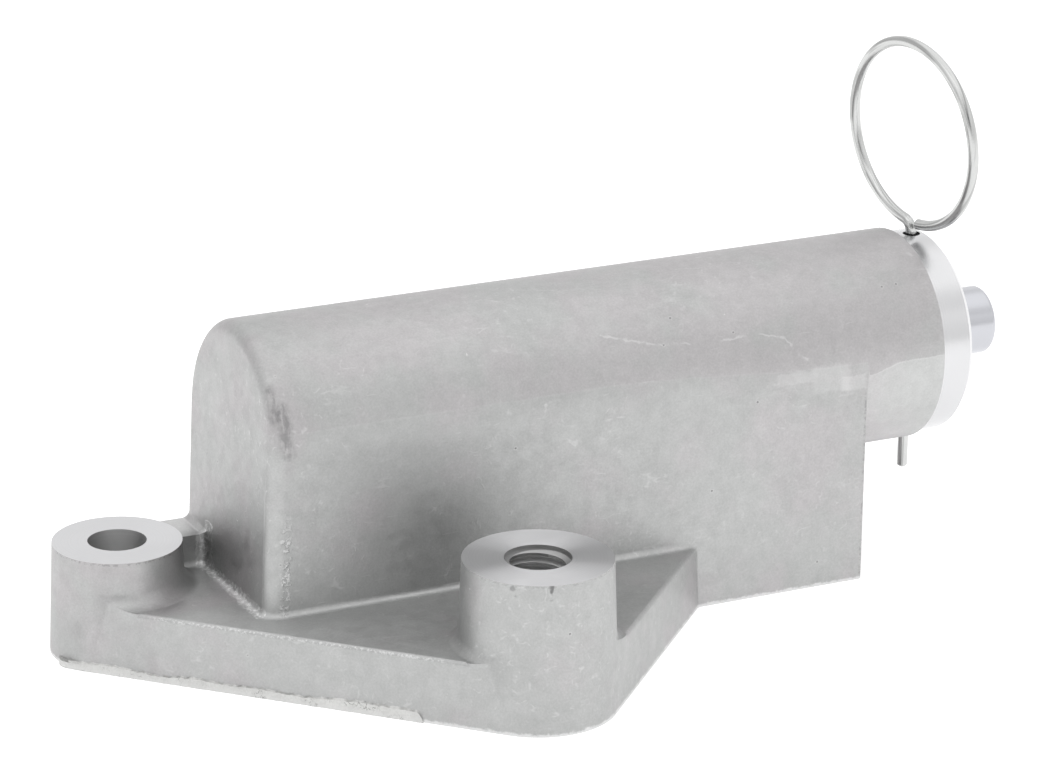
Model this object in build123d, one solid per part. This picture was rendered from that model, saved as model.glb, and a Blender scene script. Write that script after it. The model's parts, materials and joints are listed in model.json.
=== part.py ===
from build123d import *
import os
from math import acos, asin, atan2, cos, degrees, radians, sin, sqrt, tan

# Hydraulic timing belt tensioner, in millimetres.
#
# The origin is the axis of the plain bolt bore, on the base plane. +X runs along the plunger's axis,
# out of the open end. +Z runs up the bolts' axes. The casting stands on its base, Z = 0.
#
# One cast aluminium housing holds an oil-damped plunger. A spring pushes the plunger out, and oil that
# has to leak past the piston slows it on the way back. A wire lock pin holds it in until it is fitted.

# Casting: body, block and collar
BODY_R = 17.0  # half-round top and half the body's width
AXIS_Y = -5.9  # plunger axis, seen from the bolt bore
AXIS_Z = 34.3
BODY_LEFT_X = 16.0  # flat left end, at the height of the axis
BLOCK_END_X = 117.0  # the block under the barrel stops here
COLLAR_END_X = 137.0  # end of the turned collar
COLLAR_LENGTH = 6.0  # the rest of the barrel is rough casting
COLLAR_R = 16.3
COLLAR_CHAMFER = 0.9
DRAFT = 2.2  # degrees, on every wall that leaves the mould upwards
BODY_EDGE_R = 2.4  # rounding round the flat left end

# Casting: foot, bosses and rib
FOOT_T = 10.3
FOOT_SIDE_ANGLE = 46.0  # plan angle of the foot's right side, seen from +X
LEFT_BOSS_R = 9.9  # at its machined top
LEFT_BOSS_H = 17.4
LEFT_BORE_R = 4.5  # clearance for an M8 bolt
FRONT_BOSS_X = 48.3
FRONT_BOSS_Y = -46.3
FRONT_BOSS_R = 11.3
FRONT_BOSS_H = 23.4
THREAD_DRILL_R = 4.25  # tapping drill of an M10 x 1.5 thread
THREAD_MOUTH_R = 5.05  # short plain recess at both ends of the thread
THREAD_MOUTH_DEPTH = 0.7
BACK_INSET = 0.7  # the foot's back lies this far inside the body's far wall
RIB_FRONT_Y = 1.5
RIB_H = 15.3
RIB_INSET = 0.15  # the rib's back lies this far inside the foot's
RIB_BLEND_R = 1.2  # where the rib meets the body's left end
FOOT_EDGE_R = 0.7  # rounding of the foot's upper edges
BLEND_R = 1.1  # small radius in the corners where the body and the rib stand on the foot
LEFT_BLEND_R = 2.8  # larger radii where the bosses meet the foot's top
FRONT_BLEND_R = 1.7
BLEND_SUNK = 0.03  # these blends start this far inside the boss and the foot
LAND_H = 1.0  # trimmed flash land along the foot's front edge
LAND_PROUD = 0.15
LAND_LEAD = 6.0  # the land starts this far before the foot's straight front
LAND_END_GAP = 12.0  # from the land's end to where the front boss starts to curve
LAND_W = 5.0

# Bore, from its blind end to the mouth
BORE_FLOOR_X = 26.0
BORE_R = 11.5
GUIDE_BORE_R = 12.5
RING_FROM_MOUTH = 10.0  # the snap ring's groove lies this far inside the mouth
MOUTH_CHAMFER = 0.7
SEAT_GAP = 0.02  # play of a pressed or seated ring in its bore
RUN_GAP = 0.03  # play of a sliding pair

# Plunger and piston
ROD_R = 5.5
ROD_OUT = 10.8  # the rod stands this far out of the collar with the lock pin in
ROD_TIP_R = 0.8
STROKE = 9.0
STOP_GAP = 0.3
PISTON_R = 7.0
PISTON_LENGTH = 34.0
PISTON_CAVITY_R = 5.7
PISTON_FLOOR_T = 2.0
ROD_POCKET_DEPTH = 4.2
CLIP_WIRE_R = 0.5
CLIP_FROM_FACE = 2.0
CLIP_OPENING = 60.0  # degrees

# Pressure cylinder and check valve
CYLINDER_WALL = 2.0
CYLINDER_LENGTH = 64.0
FOOT_FLANGE_T = 2.5
OIL_SLOT_W = 3.0
OIL_SLOT_DEPTH = 1.2
OIL_SLOTS = 4
LEDGE_DEPTH = 2.0
LEDGE_R = 5.5
VALVE_SEAT_T = 4.0
OIL_PORT_R = 1.5
BALL_R = 2.0
BALL_LIFT = 0.6
BALL_GAP = 0.01
CAGE_SHEET = 0.6
CAGE_FLANGE_R = 6.4
CAGE_R = 3.2
CAGE_H = 6.5
CAGE_WINDOWS = 3
CAGE_WINDOW_W = 1.8
CAGE_VENT_R = 1.0
BALL_SPRING_R = 1.35
BALL_SPRING_WIRE_R = 0.15
BALL_SPRING_COILS = 3.5

# Return spring
SPRING_WIRE_R = 0.85
SPRING_OUTER_R = 5.5
SPRING_COILS = 13.0
SPRING_SEAT_T = 1.0

# Rod guide, seal and snap ring
GUIDE_LENGTH = 15.0
LINER_T = 1.0
LINER_INSET = 1.0
O_RING_WIRE_R = 0.9
O_RING_GROOVE_W = 2.4
O_RING_FROM_FACE = 6.0
SEAL_LENGTH = 7.0
SEAL_CASE_T = 0.9
SEAL_OPENING_R = 7.6
SEAL_RUBBER_T = 1.3
SEAL_LIP_INSET = 1.5  # from the seal's open side to the lip's edge
SEAL_HEAD_INSET = 0.4
SEAL_HEAD_R = 7.9
SEAL_HEAD_L = 2.6
SEAL_NECK_GAP = 1.0
SEAL_NECK_T = 1.0
GARTER_WIRE_R = 0.45
WASHER_T = 1.0
WASHER_HOLE_GAP = 0.4
RING_T = 1.2  # snap ring for a 25 mm bore
RING_GROOVE_R = 13.1
RING_GROOVE_W = 1.3
RING_BAND = 1.8
RING_LUG_R = 1.6
RING_LUG_HOLE_R = 0.85
RING_OPENING = 26.0  # degrees between the lugs

# Lock pin, one bent wire
PIN_FROM_MOUTH = 2.8
PIN_WIRE_R = 0.87
PIN_HOLE_R = 1.4
PIN_SLOT_GAP = 0.1
PIN_BELOW_COLLAR = 7.2
PIN_TIP_CHAMFER = 0.35
PIN_BEND_R = 1.7
PIN_LEAN = 3.75  # degrees, the ring's plane leans back towards the body
PIN_LEAN_ARC = 2.6  # length of leg over which it takes that lean
RING_TURN = -82.0  # plan angle of the ring's plane, seen from +X
RING_R = 15.0  # to the middle of the wire
RING_RISE = 17.0  # from the collar's top to the ring's centre
RING_OFFSET = 0.9
RING_END_GAP = 1.9  # from the leg to the wire's free end

# For the modelling alone
CUT_PAST = 1.0  # a cut runs this far past the surface that it opens
NEAR = 0.1  # an edge this close to a level lies on it

# Worked out from the values above
AXIS = Pos(0, AXIS_Y, AXIS_Z)
CAST_END_X = COLLAR_END_X - COLLAR_LENGTH
ROD_TIP_X = COLLAR_END_X + ROD_OUT
PIN_X = COLLAR_END_X - PIN_FROM_MOUTH
DRAFT_SLOPE = tan(radians(DRAFT))
LEFT_BASE_R = LEFT_BOSS_R + LEFT_BOSS_H * DRAFT_SLOPE
FRONT_BASE_R = FRONT_BOSS_R + FRONT_BOSS_H * DRAFT_SLOPE
BACK_Y = AXIS_Y + BODY_R - BACK_INSET
GUIDE_R = GUIDE_BORE_R - SEAT_GAP
WASHER_END_X = COLLAR_END_X - RING_FROM_MOUTH
SEAL_END_X = WASHER_END_X - WASHER_T
GUIDE_END_X = SEAL_END_X - SEAL_LENGTH
GUIDE_SHOULDER_X = GUIDE_END_X - GUIDE_LENGTH
PISTON_FACE_X = GUIDE_SHOULDER_X - STROKE - STOP_GAP
PISTON_START_X = PISTON_FACE_X - PISTON_LENGTH
ROD_START_X = PISTON_FACE_X - ROD_POCKET_DEPTH
PISTON_FLOOR_X = ROD_START_X - PISTON_FLOOR_T
SPRING_SEAT_X = PISTON_FLOOR_X - SPRING_SEAT_T
CYLINDER_BORE_R = PISTON_R + RUN_GAP
CYLINDER_R = CYLINDER_BORE_R + CYLINDER_WALL
VALVE_SEAT_X = BORE_FLOOR_X + LEDGE_DEPTH
VALVE_FACE_X = VALVE_SEAT_X + VALVE_SEAT_T
CAGE_FACE_X = VALVE_FACE_X + CAGE_SHEET
CAGE_TOP_X = VALVE_FACE_X + CAGE_H
BALL_X = VALVE_FACE_X + sqrt((BALL_R + BALL_GAP) ** 2 - OIL_PORT_R ** 2)
CLIP_X = PISTON_FACE_X - CLIP_FROM_FACE
LINER_BORE_R = ROD_R + RUN_GAP
LINER_R = LINER_BORE_R + LINER_T
O_RING_R = GUIDE_R - O_RING_WIRE_R
O_RING_X = GUIDE_SHOULDER_X + O_RING_FROM_FACE
LIP_X = GUIDE_END_X + SEAL_LIP_INSET
COLLAR_TOP_Z = AXIS_Z + COLLAR_R


def turned(points, groove=None):
    """A ring or shaft about the plunger axis, from its half section as (x, radius) points."""
    section = make_face(Polyline(*points, close=True))
    if groove:
        section -= groove
    return AXIS * revolve(section, Axis.X)


def rod(radius, x0, x1):
    """A plain round bar about the plunger axis."""
    return AXIS * Pos((x0 + x1) / 2, 0, 0) * Rot(0, 90, 0) * Cylinder(radius, x1 - x0)


def tube(outer, inner, x0, x1):
    """A plain tube about the plunger axis."""
    return rod(outer, x0, x1) - rod(inner, x0, x1)


def wire_ring(ring_r, wire_r, x, opening=0.0):
    """A round wire bent into a ring about the plunger axis, with an opening given in degrees."""
    return AXIS * revolve(Pos(x, ring_r) * Circle(wire_r), Axis.X, 360 - opening)


def coil(radius, wire_r, x0, x1, turns):
    """A compression spring about the plunger axis, with both ends ground flat."""
    pitch = (x1 - x0) / turns
    path = Helix(pitch, x1 - x0, radius, center=(x0, 0, 0), direction=(1, 0, 0))
    section = Plane(origin=path @ 0, z_dir=path % 0) * Circle(wire_r)
    wire = sweep(section, path=path, is_frenet=True)
    return AXIS * wire & rod(radius + 2 * wire_r, x0, x1)


def upright(radius, x, y, z0, z1):
    """A plain vertical cylinder."""
    return Pos(x, y, (z0 + z1) / 2) * Cylinder(radius, z1 - z0)


def boss(x, y, top_r, base_r, height):
    """A round boss with draft, standing on the base plane."""
    return Pos(x, y, height / 2) * Cone(base_r, top_r, height)


def tangent_points(c0, r0, c1, r1, side):
    """Where the straight line that touches two circles on one side meets them."""
    dx, dy = c1[0] - c0[0], c1[1] - c0[1]
    along = Vector(dx, dy).normalized()
    lean = (r0 - r1) / sqrt(dx * dx + dy * dy)
    across = Vector(-along.Y, along.X) * side * sqrt(1 - lean * lean)
    normal = along * lean + across
    return [(c[0] + r * normal.X, c[1] + r * normal.Y) for c, r in ((c0, r0), (c1, r1))]


def foot_outline():
    """Plan of the triangular foot: two bosses, joined by straight sides that run under the body."""
    left, front = (0, 0), (FRONT_BOSS_X, FRONT_BOSS_Y)
    near_left, near_front = tangent_points(left, LEFT_BASE_R, front, FRONT_BASE_R, -1)
    side = radians(FOOT_SIDE_ANGLE)
    right = (front[0] + FRONT_BASE_R * sin(side), front[1] - FRONT_BASE_R * cos(side))
    reach = (AXIS_Y - right[1]) / sin(side)
    under_body = (right[0] + reach * cos(side), AXIS_Y)
    back = [(BODY_LEFT_X + BODY_R, BACK_Y), (BODY_LEFT_X, BACK_Y), (0, LEFT_BASE_R)]
    corners = [left, near_left, near_front, front, right, under_body, *back]
    plan = make_face(Polyline(*corners, close=True))
    return plan + Circle(LEFT_BASE_R) + Pos(*front) * Circle(FRONT_BASE_R)


def flash_land():
    """The narrow trimmed land along the foot's front edge, a little proud of the wall."""
    left, front = (0, 0), (FRONT_BOSS_X, FRONT_BOSS_Y)
    a, b = tangent_points(left, LEFT_BASE_R, front, FRONT_BASE_R, -1)
    run = Vector(b[0] - a[0], b[1] - a[1])
    along = run.normalized()
    length = run.length - LAND_END_GAP + LAND_LEAD
    plan = Pos(length / 2 - LAND_LEAD, LAND_W / 2 - LAND_PROUD) * SlotOverall(length, LAND_W)
    frame = Plane(origin=(a[0], a[1], 0), x_dir=(along.X, along.Y, 0), z_dir=(0, 0, 1))
    return frame.location * extrude(plan, LAND_H)


def foot():
    """The triangular foot, with its upper edges rounded."""
    slab = extrude(foot_outline(), FOOT_T, taper=DRAFT)
    return fillet(slab.faces().sort_by(Axis.Z)[-1].edges(), FOOT_EDGE_R)


def boss_blend(x, y, top_r, height, blend_r):
    """Flared ring where a boss meets the foot's top, cut off at the foot's own walls."""
    low, high = FOOT_T - BLEND_SUNK, FOOT_T - BLEND_SUNK + blend_r
    inner = top_r + (height - high) * DRAFT_SLOPE - BLEND_SUNK
    outer = inner + blend_r
    half_turn = radians(45)
    middle = (outer - blend_r * sin(half_turn), high - blend_r * cos(half_turn))
    outline = Polyline((inner, high), (0, high), (0, low - BLEND_R), (outer, low - BLEND_R), (outer, low))
    section = make_face(outline + ThreePointArc((outer, low), middle, (inner, high)))
    ring = revolve(Plane.XZ * section, Axis.Z)
    inside_walls = extrude(foot_outline(), high + CUT_PAST, taper=DRAFT)
    return (Pos(x, y, 0) * ring) & inside_walls


def is_foot_corner(edge):
    """True for the corners where the body and the rib stand on the foot's flat top."""
    box = edge.bounding_box()
    level = max(abs(box.min.Z - FOOT_T), abs(box.max.Z - FOOT_T)) < NEAR
    along_body = AXIS_Y - BODY_R - NEAR < edge.center().Y < RIB_FRONT_Y + BLEND_R
    return level and along_body and edge.geom_type in (GeomType.LINE, GeomType.ELLIPSE)


def is_foot_root(edge):
    """True for the upright corner in which the foot's right wall meets the body's near wall."""
    box = edge.bounding_box()
    on_near_wall = max(abs(box.min.Y - AXIS_Y + BODY_R), abs(box.max.Y - AXIS_Y + BODY_R)) < NEAR
    right_of_boss = box.min.X > FRONT_BOSS_X + FRONT_BASE_R
    return on_near_wall and right_of_boss and box.max.X < BLOCK_END_X - NEAR and box.max.Z < FOOT_T + NEAR


def is_rib_corner(edge):
    """True for the edges in which the rib meets the body's left end."""
    box = edge.bounding_box()
    slope_reach = (AXIS_Z - box.min.Z) * DRAFT_SLOPE
    on_left_end = BODY_LEFT_X - slope_reach - NEAR < box.min.X and box.max.X < BODY_LEFT_X + NEAR
    beside_rib = RIB_FRONT_Y - NEAR < box.min.Y and box.max.Y < BACK_Y + NEAR
    return on_left_end and beside_rib and box.max.Z < RIB_H + NEAR


def body():
    """The half-round body on its block, with a drafted left end whose rim is rounded."""
    start = BODY_LEFT_X - BODY_R
    block_middle = Pos((start + BLOCK_END_X) / 2, AXIS_Y, AXIS_Z / 2)
    block = block_middle * Box(BLOCK_END_X - start, 2 * BODY_R, AXIS_Z)
    uncut = block + rod(BODY_R, start, CAST_END_X)
    draft = radians(DRAFT)
    end_plane = Plane(origin=(BODY_LEFT_X, AXIS_Y, AXIS_Z), z_dir=(cos(draft), 0, -sin(draft)))
    part = split(uncut, bisect_by=end_plane, keep=Keep.TOP)
    left_face = part.faces().sort_by(Axis.X)[0]
    all_but_the_base = left_face.edges().sort_by(Axis.Z)[1:]
    return fillet(all_but_the_base, BODY_EDGE_R)


def rib():
    """Low wall between the left boss and the body."""
    end, back = BODY_LEFT_X + BODY_R, BACK_Y - RIB_INSET
    corners = [(0, RIB_FRONT_Y), (end, RIB_FRONT_Y), (end, back), (BODY_LEFT_X, back)]
    plan = make_face(Polyline(*corners, (0, LEFT_BASE_R - RIB_INSET), close=True))
    return extrude(plan, RIB_H, taper=DRAFT)


def casting():
    """The rough casting, solid, before it is drilled and bored."""
    part = body() + rib()
    part = fillet(part.edges().filter_by(is_rib_corner), RIB_BLEND_R)
    part += foot()
    for x, y, top_r, base_r, height, blend_r in (
        (0, 0, LEFT_BOSS_R, LEFT_BASE_R, LEFT_BOSS_H, LEFT_BLEND_R),
        (FRONT_BOSS_X, FRONT_BOSS_Y, FRONT_BOSS_R, FRONT_BASE_R, FRONT_BOSS_H, FRONT_BLEND_R),
    ):
        part += boss(x, y, top_r, base_r, height)
        part += boss_blend(x, y, top_r, height, blend_r)
    part = fillet(part.edges().filter_by(is_foot_corner) + part.edges().filter_by(is_foot_root), BLEND_R)
    return part + flash_land()


def collar():
    """Turned end of the barrel."""
    chamfer_x = COLLAR_END_X - COLLAR_CHAMFER
    end_r = COLLAR_R - COLLAR_CHAMFER
    return turned(
        [
            (CAST_END_X, 0),
            (CAST_END_X, COLLAR_R),
            (chamfer_x, COLLAR_R),
            (COLLAR_END_X, end_r),
            (COLLAR_END_X, 0),
        ]
    )


def housing():
    """The finished housing: cast, then bored from the right and drilled from above."""
    mouth_x = COLLAR_END_X - MOUTH_CHAMFER
    mouth_r = GUIDE_BORE_R + MOUTH_CHAMFER
    out_x = COLLAR_END_X + CUT_PAST
    part = casting() + collar()
    part -= rod(BORE_R, BORE_FLOOR_X, out_x)
    part -= rod(GUIDE_BORE_R, GUIDE_SHOULDER_X, out_x)
    part -= rod(RING_GROOVE_R, WASHER_END_X, WASHER_END_X + RING_GROOVE_W)
    mouth = [(mouth_x, 0), (mouth_x, GUIDE_BORE_R), (COLLAR_END_X, mouth_r), (out_x, mouth_r), (out_x, 0)]
    part -= turned(mouth)
    part -= upright(PIN_HOLE_R, PIN_X, AXIS_Y, AXIS_Z - COLLAR_R - CUT_PAST, COLLAR_TOP_Z + CUT_PAST)
    part -= upright(LEFT_BORE_R, 0, 0, -CUT_PAST, LEFT_BOSS_H + CUT_PAST)
    past_top = FRONT_BOSS_H + CUT_PAST
    part -= upright(THREAD_DRILL_R, FRONT_BOSS_X, FRONT_BOSS_Y, -CUT_PAST, past_top)
    part -= upright(THREAD_MOUTH_R, FRONT_BOSS_X, FRONT_BOSS_Y, FRONT_BOSS_H - THREAD_MOUTH_DEPTH, past_top)
    part -= upright(THREAD_MOUTH_R, FRONT_BOSS_X, FRONT_BOSS_Y, -CUT_PAST, THREAD_MOUTH_DEPTH)
    return part


def pressure_cylinder():
    """Steel liner in which the piston runs. Its notched foot lets oil in under the valve."""
    end = BORE_FLOOR_X + CYLINDER_LENGTH
    foot = BORE_FLOOR_X + FOOT_FLANGE_T
    flange_r = BORE_R - SEAT_GAP
    part = turned(
        [
            (BORE_FLOOR_X, LEDGE_R),
            (BORE_FLOOR_X, flange_r),
            (foot, flange_r),
            (foot, CYLINDER_R),
            (end, CYLINDER_R),
            (end, CYLINDER_BORE_R),
            (VALVE_SEAT_X, CYLINDER_BORE_R),
            (VALVE_SEAT_X, LEDGE_R),
        ]
    )
    for i in range(OIL_SLOTS):
        turn = AXIS * Rot(360 * i / OIL_SLOTS, 0, 0)
        under_place = Pos(BORE_FLOOR_X + OIL_SLOT_DEPTH / 2, BORE_R / 2, 0)
        under = under_place * Box(OIL_SLOT_DEPTH, BORE_R, OIL_SLOT_W)
        past = Pos(foot - FOOT_FLANGE_T / 2, CYLINDER_R + BORE_R / 2, 0) * Box(
            FOOT_FLANGE_T + 2 * CUT_PAST, BORE_R, OIL_SLOT_W
        )
        part -= turn * (under + past)
    return part


def valve_seat():
    """Hard steel disc with the oil port that the ball closes."""
    return tube(CYLINDER_BORE_R - SEAT_GAP, OIL_PORT_R, VALVE_SEAT_X, VALVE_FACE_X)


def check_ball():
    """Bearing ball on the rim of the oil port."""
    return AXIS * Pos(BALL_X, 0, 0) * Sphere(BALL_R)


def valve_cage():
    """Pressed steel cup over the ball, held down by the return spring."""
    inner_r, inner_top = CAGE_R - CAGE_SHEET, CAGE_TOP_X - CAGE_SHEET
    part = turned(
        [
            (VALVE_FACE_X, inner_r),
            (VALVE_FACE_X, CAGE_FLANGE_R),
            (CAGE_FACE_X, CAGE_FLANGE_R),
            (CAGE_FACE_X, CAGE_R),
            (CAGE_TOP_X, CAGE_R),
            (CAGE_TOP_X, CAGE_VENT_R),
            (inner_top, CAGE_VENT_R),
            (inner_top, inner_r),
        ]
    )
    length = inner_top - CAGE_FACE_X - 2 * CAGE_SHEET
    for i in range(CAGE_WINDOWS):
        window = Pos((inner_top + CAGE_FACE_X) / 2, CAGE_R, 0) * Box(length, CAGE_R, CAGE_WINDOW_W)
        part -= AXIS * Rot(360 * i / CAGE_WINDOWS, 0, 0) * window
    return part


def check_ball_spring():
    """Light spring that seats the ball."""
    start = BALL_X + sqrt(BALL_R**2 - (BALL_SPRING_R - BALL_SPRING_WIRE_R) ** 2) + BALL_GAP
    end = CAGE_TOP_X - CAGE_SHEET
    return coil(BALL_SPRING_R, BALL_SPRING_WIRE_R, start, end, BALL_SPRING_COILS)


def return_spring():
    """Main spring, from the valve cage's flange to the piston, at its length with the lock pin in."""
    radius = SPRING_OUTER_R - SPRING_WIRE_R
    return coil(radius, SPRING_WIRE_R, CAGE_FACE_X, SPRING_SEAT_X, SPRING_COILS)


def spring_seat():
    """Hardened disc on the piston's floor, under the spring's end."""
    return rod(PISTON_CAVITY_R - SEAT_GAP, SPRING_SEAT_X, PISTON_FLOOR_X)


def clip_groove():
    """Section of the room for the rod clip's wire, half in the rod and half in the piston."""
    return Pos(CLIP_X, ROD_R) * Circle(CLIP_WIRE_R + SEAT_GAP)


def piston():
    """Hollow piston, open towards the spring, with a pocket for the rod at its other end."""
    pocket_r = ROD_R + SEAT_GAP
    return turned(
        [
            (PISTON_START_X, PISTON_CAVITY_R),
            (PISTON_START_X, PISTON_R),
            (PISTON_FACE_X, PISTON_R),
            (PISTON_FACE_X, pocket_r),
            (ROD_START_X, pocket_r),
            (ROD_START_X, 0),
            (PISTON_FLOOR_X, 0),
            (PISTON_FLOOR_X, PISTON_CAVITY_R),
        ],
        clip_groove(),
    )


def rod_clip():
    """Round wire clip that keeps the rod in the piston."""
    return wire_ring(ROD_R, CLIP_WIRE_R, CLIP_X, CLIP_OPENING)


def plunger_rod():
    """Ground steel rod that pushes the belt's lever, cross-slotted for the lock pin."""
    corners = [(ROD_START_X, 0), (ROD_START_X, ROD_R), (ROD_TIP_X, ROD_R), (ROD_TIP_X, 0)]
    part = turned(corners, clip_groove())
    part = fillet(part.edges().filter_by(GeomType.CIRCLE).sort_by(Axis.X)[-1], ROD_TIP_R)
    slot_w = 2 * (PIN_WIRE_R + PIN_SLOT_GAP)
    slot = extrude(SlotOverall(STROKE + slot_w, slot_w), ROD_R + CUT_PAST, both=True)
    return part - AXIS * Pos(PIN_X - STROKE / 2, 0, 0) * slot


def rod_guide():
    """Bush against the shoulder in the housing, which carries the rod's bearing and an O-ring."""
    floor_r = O_RING_R - O_RING_WIRE_R - SEAT_GAP
    part = tube(GUIDE_R, LINER_R + SEAT_GAP, GUIDE_SHOULDER_X, GUIDE_END_X)
    half_w = O_RING_GROOVE_W / 2
    return part - tube(GUIDE_BORE_R + CUT_PAST, floor_r, O_RING_X - half_w, O_RING_X + half_w)


def guide_liner():
    """Thin dry bearing sleeve in the guide."""
    return tube(LINER_R, LINER_BORE_R, GUIDE_SHOULDER_X + LINER_INSET, GUIDE_END_X - LINER_INSET)


def guide_o_ring():
    """O-ring between the guide and the housing."""
    return wire_ring(O_RING_R, O_RING_WIRE_R, O_RING_X)


def seal_case():
    """Pressed steel case that holds the rod seal in the bore."""
    inner_r, flange_x = GUIDE_R - SEAL_CASE_T, SEAL_END_X - SEAL_CASE_T
    return turned(
        [
            (GUIDE_END_X, inner_r),
            (GUIDE_END_X, GUIDE_R),
            (SEAL_END_X, GUIDE_R),
            (SEAL_END_X, SEAL_OPENING_R),
            (flange_x, SEAL_OPENING_R),
            (flange_x, inner_r),
        ]
    )


def rod_seal():
    """Rubber seal, bonded into its case, with one lip that points to the oil."""
    outer_r, face = GUIDE_R - SEAL_CASE_T, SEAL_END_X - SEAL_CASE_T
    back = face - SEAL_RUBBER_T
    neck_r = ROD_R + SEAL_NECK_GAP
    head_x = GUIDE_END_X + SEAL_HEAD_INSET
    return turned(
        [
            (face, outer_r),
            (face, neck_r),
            (head_x + SEAL_HEAD_L, neck_r),
            (LIP_X, LINER_BORE_R),
            (head_x, neck_r),
            (head_x, SEAL_HEAD_R),
            (head_x + SEAL_HEAD_L, SEAL_HEAD_R),
            (head_x + SEAL_HEAD_L, neck_r + SEAL_NECK_T),
            (back, neck_r + SEAL_NECK_T),
            (back, outer_r),
        ],
        Pos(LIP_X, SEAL_HEAD_R) * Circle(GARTER_WIRE_R + SEAT_GAP),
    )


def seal_spring():
    """Garter spring round the seal's lip."""
    return wire_ring(SEAL_HEAD_R, GARTER_WIRE_R, LIP_X)


def backing_washer():
    """Steel washer between the seal and the snap ring."""
    return tube(GUIDE_R, ROD_R + WASHER_HOLE_GAP, SEAL_END_X, WASHER_END_X)


def snap_ring():
    """Internal snap ring with two eyes, sprung into its groove."""
    outer_r = RING_GROOVE_R - SEAT_GAP
    inner_r = outer_r - RING_BAND
    lug_at = inner_r - RING_LUG_R / 2
    half = RING_OPENING / 2
    reach = outer_r + CUT_PAST
    half_gap = reach * tan(radians(half))
    gap = make_face(Polyline((0, 0), (reach, half_gap), (reach, -half_gap), close=True))
    plan = Circle(outer_r) - Circle(inner_r) - gap
    lug_turn = half + degrees(asin(RING_LUG_R / lug_at))
    for turn in (lug_turn, -lug_turn):
        plan += Rot(0, 0, turn) * Pos(lug_at, 0) * Circle(RING_LUG_R)
        plan -= Rot(0, 0, turn) * Pos(lug_at, 0) * Circle(RING_LUG_HOLE_R)
    placed = Plane(origin=(WASHER_END_X, 0, 0), x_dir=(0, -1, 0), z_dir=(1, 0, 0))
    return AXIS * placed.location * extrude(plan, RING_T)


def ring_direction():
    """Level direction in the pull ring's plane, from the leg towards the wire's free end."""
    return Vector(cos(radians(RING_TURN)), sin(radians(RING_TURN)), 0)


def lock_pin_path():
    """Middle line of the lock pin's wire: straight leg, small bend, then nearly a full ring."""
    level = ring_direction()
    back = level.cross(Vector(0, 0, 1))
    lean = radians(PIN_LEAN)
    lean_r = PIN_LEAN_ARC / sin(lean)
    leg_frame = Plane(origin=(PIN_X, AXIS_Y, COLLAR_TOP_Z), x_dir=back, z_dir=back.cross(Vector(0, 0, 1)))
    leg_end = AXIS_Z - COLLAR_R - PIN_BELOW_COLLAR - COLLAR_TOP_Z
    leaning = [(lean_r * (1 - cos(a)), lean_r * sin(a) - PIN_LEAN_ARC) for a in (0, lean / 2, lean)]
    leg = leg_frame.location * Line((0, leg_end), (0, -PIN_LEAN_ARC))
    sway = leg_frame.location * ThreePointArc(*leaning)
    up = Vector(0, 0, 1) * cos(lean) + back * sin(lean)
    ring_frame = Plane(origin=sway @ 1, x_dir=level, z_dir=level.cross(up))
    bend_y = RING_RISE - sqrt((RING_R + PIN_BEND_R) ** 2 - (RING_OFFSET + PIN_BEND_R) ** 2)
    meet = atan2(RING_RISE - bend_y, RING_OFFSET + PIN_BEND_R)
    neck = Line((0, 0), (0, bend_y))
    bend_turns = (0, meet / 2, meet)
    bend = ThreePointArc(*[(PIN_BEND_R * (cos(a) - 1), bend_y + PIN_BEND_R * sin(a)) for a in bend_turns])
    first = degrees(meet) + 180
    last = -degrees(acos((RING_END_GAP - RING_OFFSET) / RING_R))
    turns = [radians(a) for a in (first, (first + last) / 2, last)]
    loop = ThreePointArc(
        *[(RING_OFFSET + RING_R * cos(a), RING_RISE + RING_R * sin(a)) for a in turns]
    )
    upper = [ring_frame.location * edge for edge in (neck, bend, loop)]
    return Wire([leg, sway, *upper])


def lock_pin():
    """Wire pin through the collar and the rod, with a pull ring bent from the same wire."""
    path = lock_pin_path()
    section = Plane(origin=path @ 0, z_dir=path % 0) * Circle(PIN_WIRE_R)
    part = sweep(section, path=path)
    tip = part.faces().sort_by(Axis.Z)[0]
    return chamfer(tip.edges(), PIN_TIP_CHAMFER)


PARTS = (
    housing,
    pressure_cylinder,
    valve_seat,
    check_ball,
    check_ball_spring,
    valve_cage,
    return_spring,
    spring_seat,
    piston,
    rod_clip,
    plunger_rod,
    rod_guide,
    guide_liner,
    guide_o_ring,
    rod_seal,
    seal_case,
    seal_spring,
    backing_washer,
    snap_ring,
    lock_pin,
)

os.makedirs("parts", exist_ok=True)
for build in PARTS:
    export_step(build(), f"parts/{build.__name__}.step")
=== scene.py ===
import json
import math
from types import SimpleNamespace

import bpy
from mathutils import Matrix, Vector
from mathutils import noise as noise_field


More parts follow.
